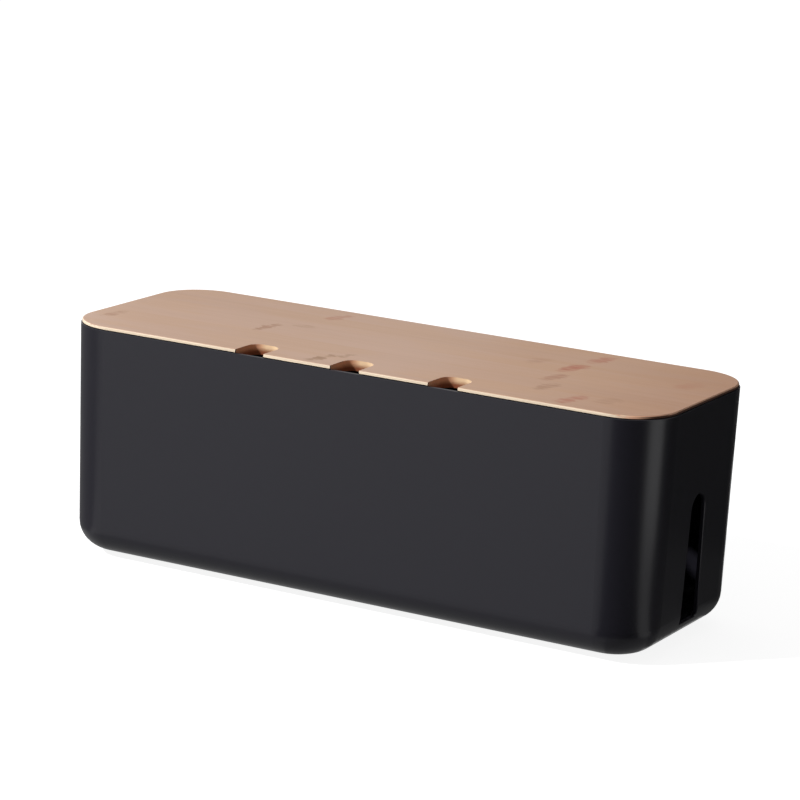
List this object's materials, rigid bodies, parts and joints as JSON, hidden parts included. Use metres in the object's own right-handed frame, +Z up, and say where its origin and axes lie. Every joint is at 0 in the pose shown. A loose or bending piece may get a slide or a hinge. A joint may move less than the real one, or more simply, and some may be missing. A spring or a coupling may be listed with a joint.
{
  "type": "cable management box",
  "caption": "Long desk box that hides a power strip and its leads, with arched cable slots in the ends and a lift-off bamboo lid with cable notches.",
  "frame": {"origin": "on the ground, under the centre of the tub, in the plane of the feet's undersides", "axes": "+X along the length, towards one slotted end; -Y towards the side of the lid that has the notches; +Z up"},
  "size_m": [0.362, 0.13, 0.134],
  "materials": {
    "tub_plastic": "black moulded plastic, fine satin texture",
    "bamboo": "pressed bamboo board, sanded, thin clear oil, grain along the length",
    "foot_rubber": "dark anti-slip rubber pad"
  },
  "bodies": {
    "box": {"body_shell": "tub_plastic", "foot_front_left": "foot_rubber", "foot_rear_left": "foot_rubber", "foot_front_right": "foot_rubber", "foot_rear_right": "foot_rubber"},
    "lid": {"lid": "bamboo"}
  },
  "joints": [
    {"name": "lid_lift", "type": "slide", "parent": "box", "child": "lid", "axis": [0, 0, 1], "range_m": [0, 0.16]}
  ]
}
